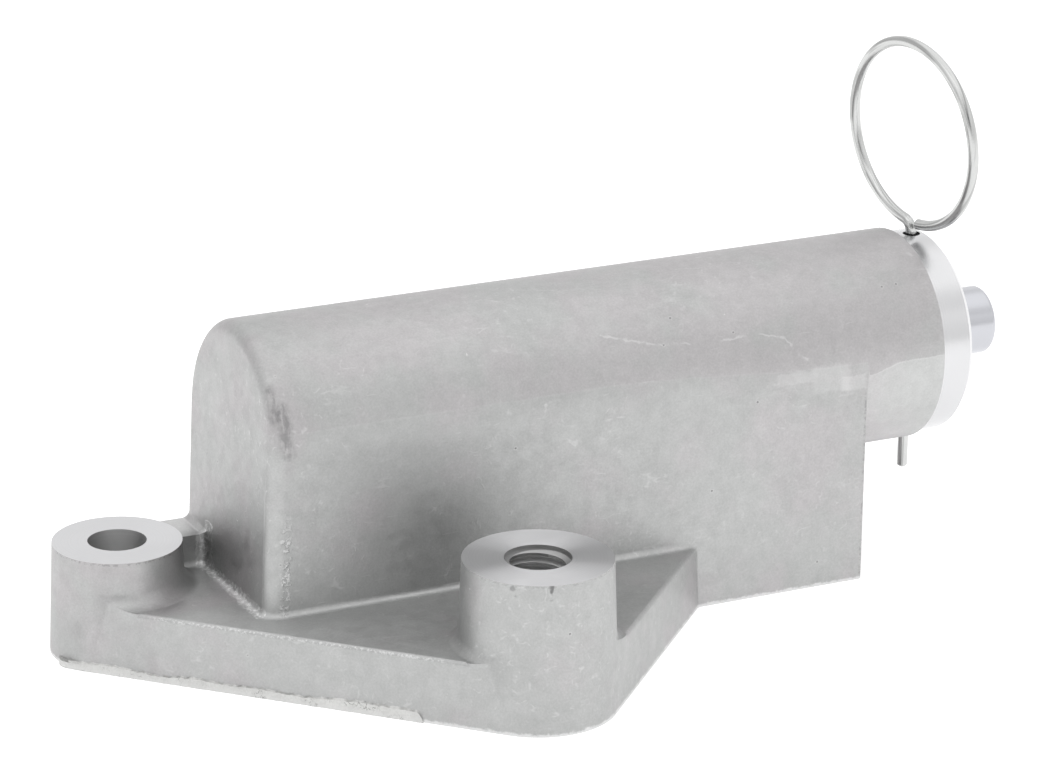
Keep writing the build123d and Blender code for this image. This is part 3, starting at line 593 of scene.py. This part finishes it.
def smudges(tree, at, colour):
    """The dark marks, with a stain on the left boss's side and painted shade in the corner by the rib."""
    smear = noise(tree, vectors(tree, "MULTIPLY", at.place, (1.0, 0.4, 0.32)), 0.55 * MM, 3.0, 0.6)
    stain = near_point(tree, at.place, (-8.7 * MM, -5.8 * MM, 6.3 * MM), 1.4 * MM, 1.0 * MM)
    colour = laid_over(tree, colour, dark, times(tree, stain, smear), 0.3)
    # Painted shade in the nook between the left boss, the rib and the left end.
    painted_nook_shade = near_point(tree, at.place, (12.3 * MM, 1.0 * MM, 14.0 * MM), 3.0 * MM, 2.0 * MM)
    colour = laid_over(tree, colour, dark, painted_nook_shade, 0.45)
    for line, reach, strength in smudge_lines:
        smudge = ramp(tree, from_line(tree, at.uneven, line), reach * MM, 0.1 * reach * MM)
        smudge = times(tree, smudge, ramp(tree, smear, 0.28, 0.62))
        colour = laid_over(tree, colour, dark, smudge, strength)
    for centre, slim, short, strength in boss_spots:
        flat = vectors(tree, "SUBTRACT", at.uneven, Vector(centre) * MM)
        flat = vectors(tree, "MULTIPLY", flat, (slim, slim, short))
        mark = ramp(tree, vectors(tree, "LENGTH", flat), 1.1 * MM, 0.5 * MM)
        colour = laid_over(tree, colour, dark, mark, strength)
    return colour


def cast_skin():
    """As-cast aluminium: satin grey and finely speckled, with all the marks above and painted shade in its
    crevices.
    """
    material, tree, shader, place = new_metal("cast_skin")
    at = on_casting(tree, place)
    marks = placed(tree, handling, {"Vector": place, "Dent share": 0.16, "Scratch level": 0.80})
    colour = parting_marks(tree, at, bare_skin(tree, at))
    colour = handled(tree, at, colour, marks)
    colour, spots = worn_corner(tree, at, colour)
    colour, scar = corner_scars(tree, at, colour)
    colour = burr_and_edge_highlight(tree, at, colour)
    colour, pit_mask = pits_and_pores(tree, at, colour)
    colour = smudges(tree, at, colour)
    # Painted shade: the colour darkens where the casting's own hollows and corners close round it.
    painted_crevice_shade = add(tree, "ShaderNodeAmbientOcclusion", {"Distance": 14 * MM}, samples=8, only_local=True)
    colour = toned(tree, colour, ramp(tree, painted_crevice_shade.outputs["AO"], 0.1, 0.95, 0.90, 1.0))
    tree.links.new(colour, shader["Base Color"])

    rough = ramp(tree, noise(tree, place, 2.2 * MM, 3.0), 0.3, 0.7, 0.46, 0.54)
    tree.links.new(rough, shader["Roughness"])
    relief = maths(tree, "ADD", noise(tree, place, 0.32 * MM, 3.0, 0.62), times(tree, marks["Scuffs"], 0.9))
    relief = maths(tree, "ADD", relief, times(tree, noise(tree, place, 2.4 * MM, 2.0), 3.0))
    relief = maths(tree, "SUBTRACT", relief, times(tree, marks["Dents"], 1.5))
    relief = maths(tree, "SUBTRACT", relief, times(tree, pit_mask, 6.0))
    relief = maths(tree, "ADD", relief, times(tree, at.ragged, maths(tree, "MAXIMUM", scar, spots), 10.0))
    raised(tree, shader, relief, 0.012 * MM)
    return material


def trimmed_flash():
    """Torn and filed aluminium: bright and rough, with dirt in its cracks and painted shade on its upper
    side.
    """
    material, tree, shader, place = new_metal("trimmed_flash")
    tone = bare_tone(tree, place, 0.2, 0.3, 0.3)
    level = add(tree, "ShaderNodeSeparateXYZ", {"Vector": place}).outputs["Z"]
    facing = add(tree, "ShaderNodeNewGeometry").outputs["Normal"]
    facing_up = add(tree, "ShaderNodeSeparateXYZ", {"Vector": facing}).outputs["Z"]
    colour = toned(tree, (0.62, 0.62, 0.61), tone)
    colour = laid_over(tree, colour, (0.67, 0.67, 0.665), ramp(tree, level, 1.1 * MM, 0.2 * MM), 0.6)
    cracks = band(tree, noise(tree, place, 1.3 * MM, 3.0, 0.6), 0.5, 0.004, 0.02)
    cracks = times(tree, cracks, ramp(tree, noise(tree, place, 3.2 * MM), 0.5, 0.6))
    # Painted shade: the flash's upward faces are darkened, past its left end.
    past_end = ramp(tree, vectors(tree, "DOT_PRODUCT", place, wall_run), 1 * MM, 6 * MM)
    painted_ledge_shade = times(tree, ramp(tree, facing_up, 0.25, 0.6), past_end)
    painted_ledge_shade = times(tree, painted_ledge_shade, ramp(tree, noise(tree, place, 1.6 * MM, 2.0), 0.42, 0.62))
    dirt_and_ledge_shade = maths(tree, "MAXIMUM", cracks, times(tree, painted_ledge_shade, 0.7))
    colour = laid_over(tree, colour, (0.16, 0.16, 0.155), dirt_and_ledge_shade, 0.6)
    tree.links.new(colour, shader["Base Color"])
    shader["Roughness"].default_value = 0.55
    raised(tree, shader, noise(tree, place, 0.5 * MM, 3.0, 0.6), 0.15 * MM)
    return material


# Tool marks of turning and drilling: fine uneven rings of a given spacing about an axis.
ring_marks, given, out = new_group("ring_marks", ("Spacing",), ("Height",))
travel = vectors(ring_marks, "DOT_PRODUCT", given["Vector"], (1, 0, 1))
travel = maths(ring_marks, "DIVIDE", travel, given["Spacing"])
wave = maths(ring_marks, "SINE", times(ring_marks, travel, math.tau))
jitter = add(ring_marks, "ShaderNodeTexNoise", {"W": travel, "Scale": 0.7}, noise_dimensions="1D")
wave = times(ring_marks, wave, ramp(ring_marks, jitter.outputs["Fac"], 0.3, 0.7))
ring_marks.links.new(wave, out["Height"])


def turned_metal(name, colour, roughness, centre, axis, spacing, depth, anisotropy=0.5):
    """Machined metal whose tool marks run round an axis, so that its highlights spread across them."""
    material, tree, shader, place = new_metal(name)
    tone = bare_tone(tree, place, 0.05, 0.03, 0.03)
    marks = placed(tree, handling, {"Vector": place, "Dent share": 0.0, "Scratch level": 0.85})
    arm = vectors(tree, "SUBTRACT", place, centre)
    round_way = vectors(tree, "CROSS_PRODUCT", axis, arm)
    facing = add(tree, "ShaderNodeNewGeometry").outputs["Normal"]
    across = vectors(tree, "NORMALIZE", vectors(tree, "CROSS_PRODUCT", round_way, facing))
    tree.links.new(across, shader["Tangent"])
    shader["Anisotropic"].default_value = anisotropy
    far_out = vectors(tree, "LENGTH", round_way)
    level = vectors(tree, "DOT_PRODUCT", arm, axis)
    rings = add(tree, "ShaderNodeCombineXYZ", {"X": far_out, "Z": level}).outputs["Vector"]
    height = placed(tree, ring_marks, {"Vector": rings, "Spacing": spacing})["Height"]
    base = toned(tree, colour, maths(tree, "ADD", tone, times(tree, height, 0.02)))
    base = laid_over(tree, base, (0.95, 0.95, 0.95), marks["Scratches"], 0.2)
    tree.links.new(base, shader["Base Color"])
    rough = ramp(tree, noise(tree, place, 5.0 * MM), 0.3, 0.7, roughness - 0.02, roughness + 0.02)
    tree.links.new(rough, shader["Roughness"])
    raised(tree, shader, height, depth)
    return material


faced = (0.60, 0.60, 0.61)
wiped = (0.66, 0.66, 0.67)
turned = (0.62, 0.62, 0.63)
drilled = (0.74, 0.74, 0.74)
# Painted shade: the mouth of the tapped hole is coloured dark.
painted_mouth_shade = (0.38, 0.38, 0.38)
tapped = (0.70, 0.70, 0.70)
mill_centre = Vector((0.06, -0.3, 0))
finishes = {
    "cast": cast_skin(),
    "flash": trimmed_flash(),
    "left_top": turned_metal("faced_left_boss", faced, 0.30, left_boss, upward, 0.5 * MM, 0.0002 * MM, 0.3),
    "front_top": turned_metal(
        "faced_front_boss", wiped, 0.36, front_boss, upward, 0.5 * MM, 0.0001 * MM, 0.95
    ),
    "collar": turned_metal("turned_collar", turned, 0.25, plunger_axis, outward, 0.45 * MM, 0.0002 * MM, 0.3),
    "left_bore": turned_metal("drilled_bore", drilled, 0.36, left_boss, upward, 0.6 * MM, 0.001 * MM),
    "mouth": turned_metal("countersunk_mouth", painted_mouth_shade, 0.42, front_boss, upward, 0.5 * MM, 0.001 * MM),
    "thread": turned_metal("tapped_thread", tapped, 0.34, front_boss, upward, 0.4 * MM, 0.0003 * MM),
    "base": turned_metal("milled_base", faced, 0.32, mill_centre, upward, 0.8 * MM, 0.001 * MM),
}
slots = {}
housing.data.materials.clear()
for key, finish in finishes.items():
    slots[key] = len(housing.data.materials)
    housing.data.materials.append(finish)

touching = 0.03 * MM
bore_reach = collar_r - 2 * MM
mouth_depth = 1.3 * MM
thread_reach = thread_root_r + 0.1 * MM
land_start = flash_start - 3.5 * MM
flash_limit = flash_high * 1.6


def finish_of(face):
    """Which finish a face of the housing has, from its place and the way it faces."""
    centre = face.center
    level = face.normal.z > 0.99
    from_left = (centre - left_boss).xy.length
    from_front = (centre - front_boss).xy.length
    in_bore = (centre - plunger_axis).yz.length < bore_reach and centre.x > bore_floor - touching
    along = (centre - left_boss).dot(wall_run)
    past_wall = (centre - left_boss).dot(wall_facing) if along > 0 else from_left
    past_wall += centre.z * draft - left_base_r
    if abs(centre.z) < touching:
        return "base"
    if past_wall > touching and centre.z < flash_limit and land_start < along < flash_end + MM:
        return "flash"
    if from_left < left_boss_r and level and abs(centre.z - left_boss_top) < touching:
        return "left_top"
    if from_left < left_bore_r + touching:
        return "left_bore"
    if from_front < thread_reach:
        return "mouth" if centre.z > front_boss_top - mouth_depth else "thread"
    if from_front < front_boss_r and level and abs(centre.z - front_boss_top) < touching:
        return "front_top"
    return "collar" if in_bore or centre.x > collar_start - touching else "cast"


for face in housing.data.polygons:
    face.material_index = slots[finish_of(face)]
only(housing)
housing.active_material_index = slots["flash"]
bpy.ops.object.mode_set(mode="EDIT")
bpy.ops.mesh.select_mode(type="FACE")
bpy.ops.mesh.select_all(action="DESELECT")
bpy.ops.object.material_slot_select()
bpy.ops.mesh.region_to_loop()
bpy.ops.mesh.mark_sharp()
bpy.ops.object.mode_set(mode="OBJECT")
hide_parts("housing")
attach(housing, "housing")


def dress(node, material):
    """Gives a piece of the frame its material."""
    for slot in frame["nodes"][node].material_slots:
        slot.material = material


def turned_round(name, colour, roughness, spacing, depth):
    """Turned or ground metal with its marks round the plunger's axis."""
    return turned_metal(name, colour, roughness, plunger_axis, outward, spacing, depth)


# The pressure cylinder, a steel liner with a notched foot. It is turned, honed inside and hardened, and
# stands on the bore's floor, held down by the return spring.
honed = (0.60, 0.60, 0.61)
dress("pressure_cylinder", turned_round("honed_steel", honed, 0.28, 0.5 * MM, 0.0003 * MM))

# The valve seat, a disc of hardened steel with the oil port through its middle. It is lapped flat and
# drops into the foot of the pressure cylinder.
lapped = (0.66, 0.66, 0.67)
dress("valve_seat", turned_round("lapped_steel", lapped, 0.16, 0.25 * MM, 0.0001 * MM))


def polished_ball():
    """Bearing steel, ground and lapped to a mirror, with faint dulling."""
    material, tree, shader, place = new_metal("polished_ball")
    tone = bare_tone(tree, place, 0.05, 0.05, 0.02)
    tree.links.new(toned(tree, (0.72, 0.72, 0.73), tone), shader["Base Color"])
    tree.links.new(ramp(tree, noise(tree, place, 0.8 * MM), 0.3, 0.7, 0.05, 0.10), shader["Roughness"])
    return material


# The check ball, a small bearing ball of chrome steel, ground and lapped. It rests on the rim of the
# oil port and lifts off it when the plunger moves out.
dress("check_ball", polished_ball())


def spring_wire(name, colour, roughness):
    """Cold drawn spring wire, oil tempered: dull, with dark patches and a fine grain."""
    material, tree, shader, place = new_metal(name)
    tone = bare_tone(tree, place, 0.2, 0.3, 0.15)
    base = toned(tree, colour, tone)
    oxide = ramp(tree, noise(tree, place, 1.1 * MM, 3.0, 0.6), 0.52, 0.68)
    tree.links.new(laid_over(tree, base, (0.08, 0.07, 0.06), oxide, 0.4), shader["Base Color"])
    tree.links.new(ramp(tree, oxide, 0.0, 1.0, roughness, roughness + 0.1), shader["Roughness"])
    raised(tree, shader, noise(tree, place, 0.2 * MM, 2.0), 0.002 * MM)
    return material


# The check ball's spring, a light coil of fine spring wire. It stands in the cage's top and seats the
# ball while the oil is at rest.
coil_smooth_angle = math.radians(50)
ball_coil = bpy.data.objects.new("check_ball_coil", frame["nodes"]["check_ball_spring"].data.copy())
bpy.context.scene.collection.objects.link(ball_coil)
only(ball_coil)
bpy.ops.object.mode_set(mode="EDIT")
bpy.ops.mesh.select_all(action="SELECT")
bpy.ops.mesh.remove_doubles(threshold=fine_weld_reach)
bpy.ops.object.mode_set(mode="OBJECT")
bpy.ops.mesh.customdata_custom_splitnormals_clear()
bpy.ops.object.shade_smooth_by_angle(angle=coil_smooth_angle)
ball_coil.data.materials.clear()
ball_coil.data.materials.append(spring_wire("fine_spring_wire", (0.52, 0.52, 0.53), 0.28))
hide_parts("check_ball_spring")
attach(ball_coil, "housing")
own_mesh(ball_coil)


def pressed_sheet(name, colour, roughness):
    """Sheet steel, blanked and drawn in a press: smooth, a little wavy, with fine drawing lines."""
    material, tree, shader, place = new_metal(name)
    tone = bare_tone(tree, place, 0.1, 0.1, 0.08)
    marks = placed(tree, handling, {"Vector": place, "Dent share": 0.1, "Scratch level": 0.78})
    base = laid_over(tree, toned(tree, colour, tone), (0.8, 0.8, 0.8), marks["Scratches"], 0.3)
    tree.links.new(base, shader["Base Color"])
    rough = ramp(tree, noise(tree, place, 1.5 * MM), 0.3, 0.7, roughness - 0.04, roughness + 0.04)
    tree.links.new(rough, shader["Roughness"])
    lines = noise(tree, vectors(tree, "MULTIPLY", place, (0.06, 1.0, 1.0)), 0.2 * MM, 2.0)
    raised(tree, shader, lines, 0.002 * MM)
    return material


# The valve cage, a small flanged cup of pressed steel with three windows. It keeps the ball over its
# port, and the return spring clamps its flange.
dress("valve_cage", pressed_sheet("pressed_cage_steel", (0.55, 0.55, 0.54), 0.32))

# The return spring, wound of oil-tempered wire with both ends ground flat. It pushes the piston and the
# rod out against the belt's lever.
dress("return_spring", spring_wire("tempered_spring_wire", (0.30, 0.29, 0.28), 0.36))

# The spring seat, a hardened steel disc on the piston's floor. It keeps the spring's ground end from
# wearing the piston.
dress("spring_seat", pressed_sheet("hardened_disc", (0.48, 0.48, 0.50), 0.30))

# The piston, turned from steel bar and ground to run in the pressure cylinder with a few hundredths of
# play. It is hollow for the spring and has a pocket for the rod.
ground = (0.68, 0.68, 0.69)
dress("piston", turned_round("ground_piston", ground, 0.20, 0.3 * MM, 0.0001 * MM))

# The plunger, a hardened rod ground and polished all round, with a slot across it for the lock pin. It
# slides in the guide and pushes the lever.
rod_steel = (0.52, 0.525, 0.555)
dress("plunger_rod", turned_round("ground_rod", rod_steel, 0.24, 0.3 * MM, 0.0001 * MM))

# The rod clip, a round wire bent to an open ring. It lies half in the rod's groove and half in the
# piston's, so that both move as one.
dress("rod_clip", spring_wire("clip_wire", (0.45, 0.45, 0.46), 0.30))


def sintered_iron():
    """Pressed and sintered iron, soaked in oil: dark grey, matt and finely porous."""
    material, tree, shader, place = new_metal("sintered_iron")
    tone = bare_tone(tree, place, 0.15, 0.15, 0.3)
    pores = ramp(tree, noise(tree, place, 0.16 * MM, 2.0), 0.60, 0.66)
    base = laid_over(tree, toned(tree, (0.34, 0.33, 0.32), tone), (0.03, 0.03, 0.03), pores, 0.7)
    tree.links.new(base, shader["Base Color"])
    tree.links.new(ramp(tree, pores, 0.0, 1.0, 0.40, 0.65), shader["Roughness"])
    raised(tree, shader, maths(tree, "MULTIPLY", pores, -1.0), 0.02 * MM)
    return material


# The rod guide, a bush of sintered iron against the shoulder in the bore. It carries the rod's bearing
# and, in a groove outside, an O-ring.
dress("rod_guide", sintered_iron())

# The guide's liner, a thin rolled sleeve of bearing bronze pressed into the bush. The rod slides on it.
# It is burnished bright inside.
bronze = (0.66, 0.46, 0.24)
dress("guide_liner", turned_round("burnished_bronze", bronze, 0.30, 0.4 * MM, 0.0003 * MM))


def seal_rubber():
    """Moulded nitrile rubber: black, dull and very finely grained, with a slight grey bloom."""
    material, tree, shader, place = new_metal("moulded_seal_rubber", 0.0)
    bloom = ramp(tree, noise(tree, place, 2.0 * MM, 3.0, 0.6), 0.45, 0.75)
    base = laid_over(tree, (0.018, 0.018, 0.019), (0.07, 0.07, 0.07), bloom, 0.5)
    tree.links.new(base, shader["Base Color"])
    tree.links.new(ramp(tree, bloom, 0.0, 1.0, 0.42, 0.60), shader["Roughness"])
    raised(tree, shader, noise(tree, place, 0.12 * MM, 2.0), 0.006 * MM)
    return material


# The guide's O-ring, moulded in nitrile rubber. It lies in the bush's groove and closes the gap to the
# housing.
rubber = seal_rubber()
dress("guide_o_ring", rubber)

# The rod seal, the same rubber moulded onto its case, with one lip that wipes the rod and points to the
# oil inside.
dress("rod_seal", rubber)

# The seal's case, a ring of pressed and plated steel. It holds the rubber round in the bore and is
# pushed in by hand press.
dress("seal_case", pressed_sheet("plated_case_steel", (0.58, 0.57, 0.52), 0.30))

# The seal's garter spring, fine steel wire wound close and joined to a ring. It lies behind the lip and
# keeps it on the rod.
dress("seal_spring", spring_wire("garter_wire", (0.60, 0.60, 0.61), 0.26))

# The backing washer, blanked from sheet steel. It lies between the seal and the snap ring and keeps the
# rubber from creeping out.
dress("backing_washer", pressed_sheet("blanked_washer_steel", (0.56, 0.56, 0.57), 0.30))


def phosphated_steel():
    """Spring steel with a dark phosphate coat, worn to bright metal here and there."""
    material, tree, shader, place = new_metal("phosphated_steel", 0.8)
    tone = bare_tone(tree, place, 0.2, 0.3, 0.3)
    worn = ramp(tree, noise(tree, place, 0.9 * MM, 3.0, 0.6), 0.60, 0.70)
    base = laid_over(tree, toned(tree, (0.13, 0.13, 0.135), tone), (0.5, 0.5, 0.5), worn, 0.35)
    tree.links.new(base, shader["Base Color"])
    tree.links.new(ramp(tree, worn, 0.0, 1.0, 0.48, 0.34), shader["Roughness"])
    raised(tree, shader, noise(tree, place, 0.2 * MM, 2.0), 0.004 * MM)
    return material


# The snap ring, stamped from spring steel, with an eye at each end for the pliers. It is sprung into
# its groove and closes the bore.
dress("snap_ring", phosphated_steel())

# The lock pin, one length of drawn stainless wire. It is bent cold into a pull ring and pushed through
# the collar and the rod by hand, so only its own spring holds it.
wire_r = 0.87 * MM
ring_r = 15.0 * MM
ring_centre = Vector((133.1, -6.95, 67.55)) * MM
ring_facing = Vector((-0.99, -0.14, 0.06)).normalized()


def drawn_wire():
    """Bright drawn wire, smooth, with long faint lines along it: drawing lines and painted dark reflection
    streaks.
    """
    material, tree, shader, place = new_metal("drawn_wire")
    arm = vectors(tree, "SUBTRACT", place, ring_centre)
    aside = vectors(tree, "DOT_PRODUCT", arm, ring_facing)
    away = vectors(tree, "LENGTH", arm)
    in_ring = add(tree, "ShaderNodeCombineXYZ", {"X": away, "Y": aside}).outputs["Vector"]
    slow = vectors(tree, "MULTIPLY", place, (0.02, 0.02, 0.02))
    on_ring = noise(tree, vectors(tree, "ADD", in_ring, slow), 0.55 * MM, 1.0, 0.5)
    on_leg = noise(tree, vectors(tree, "MULTIPLY", place, (1.0, 1.0, 0.03)), 0.55 * MM, 1.0, 0.5)
    is_ring = band(tree, away, ring_r, 1.4 * wire_r, 0.4 * wire_r)
    lines = add(tree, "ShaderNodeMix", {0: is_ring, 2: on_leg, 3: on_ring}, data_type="FLOAT").outputs[0]
    tone = bare_tone(tree, place, 0.12, 0.05, 0.05)
    # The lines darken the colour: drawing lines, and painted dark reflection streaks along the ring.
    factor = times(tree, tone, ramp(tree, lines, 0.38, 0.52, 0.72, 1.0))
    tree.links.new(toned(tree, (0.56, 0.565, 0.56), factor), shader["Base Color"])
    tree.links.new(ramp(tree, lines, 0.3, 0.7, 0.2, 0.26), shader["Roughness"])
    raised(tree, shader, lines, 0.002 * MM)
    return material


dress("lock_pin", drawn_wire())

# The floor, a plain pale sheet, and soft light from all round it, as in a light tent with a dark gap on
# the camera's side. A soft box adds a little light from high on the left.
floor_size = 8.0
floor_glow = 0.47
bpy.ops.mesh.primitive_grid_add(x_subdivisions=4, y_subdivisions=4, size=floor_size, location=(0, 0, 0))
floor = bpy.context.object
floor.name = "floor"
paper = bpy.data.materials.new("pale_floor")
paper.use_nodes = True
tree = paper.node_tree
tree.nodes.clear()
rays = add(tree, "ShaderNodeLightPath").outputs
seen = maths(tree, "MAXIMUM", rays["Is Camera Ray"], rays["Is Glossy Ray"])
seen = maths(tree, "MAXIMUM", seen, rays["Is Transmission Ray"])
glow = add(tree, "ShaderNodeEmission", {"Strength": times(tree, seen, floor_glow)})
sheet = add(tree, "ShaderNodeBsdfDiffuse", {"Color": (0.8, 0.8, 0.8, 1)})
both = add(tree, "ShaderNodeAddShader", {0: glow.outputs[0], 1: sheet.outputs[0]})
add(tree, "ShaderNodeOutputMaterial", {"Surface": both.outputs[0]})
floor.data.materials.append(paper)

world = bpy.data.worlds.new("light_tent")
bpy.context.scene.world = world
world.use_nodes = True
tree = world.node_tree
tree.nodes.clear()
toward = add(tree, "ShaderNodeTexCoord").outputs["Generated"]
rightward, _, height = add(tree, "ShaderNodeSeparateXYZ", {"Vector": toward}).outputs
tent = times(tree, ramp(tree, height, 0.0, 0.9, 0.90, 1.28), ramp(tree, rightward, -1.0, 1.0, 0.94, 1.13))
seam = ramp(tree, band(tree, height, 0.62, 0.05, 0.16), 0.0, 1.0, 1.0, 0.8)
gap_side = Vector((-0.41, -0.85, 0.33)).normalized()
gap = ramp(tree, vectors(tree, "DOT_PRODUCT", toward, gap_side), 0.955, 0.975, 1.0, 0.35)
seen_directly = add(tree, "ShaderNodeLightPath").outputs["Is Camera Ray"]
inside = add(tree, "ShaderNodeBackground", {"Color": (1, 1, 1, 1), "Strength": times(tree, tent, seam, gap)})
beyond = add(tree, "ShaderNodeBackground", {"Color": (1, 1, 1, 1), "Strength": 1.0})
shown = add(tree, "ShaderNodeMixShader", {0: seen_directly, 1: inside.outputs[0], 2: beyond.outputs[0]})
add(tree, "ShaderNodeOutputWorld", {"Surface": shown.outputs[0]})

lamp_target = Vector((0.06, -0.01, 0.03))
bpy.ops.object.light_add(type="AREA", location=(-0.55, -0.45, 0.85))
lamp = bpy.context.object
lamp.name = "soft_box"
lamp.data.shape = "RECTANGLE"
lamp.data.size = 1.0
lamp.data.size_y = 0.8
lamp.data.energy = 1.0
lamp.rotation_euler = (lamp_target - lamp.location).to_track_quat("-Z", "Y").to_euler()

# The camera, where the photo was taken from.
view_turn = math.radians(64.10)
view_drop = math.radians(19.37)
view_roll = math.radians(0.55)
view_target = Vector((64.66, -6.8, 35.01)) * MM
view_distance = 662.5 * MM
level_share = math.cos(view_drop)
sight_x = math.cos(view_turn) * level_share
sight_y = math.sin(view_turn) * level_share
sight = Vector((sight_x, sight_y, -math.sin(view_drop)))
bpy.ops.object.camera_add(location=view_target - sight * view_distance)
camera = bpy.context.object
camera.data.sensor_width = 36.0
camera.data.lens = 147.4
camera.data.clip_start = 0.01
camera.data.clip_end = 20.0
upright = sight.to_track_quat("-Z", "Y").to_matrix()
camera.rotation_euler = (upright @ Matrix.Rotation(view_roll, 3, "Z")).to_euler()
bpy.context.scene.camera = camera
bpy.context.scene.view_settings.view_transform = "Standard"
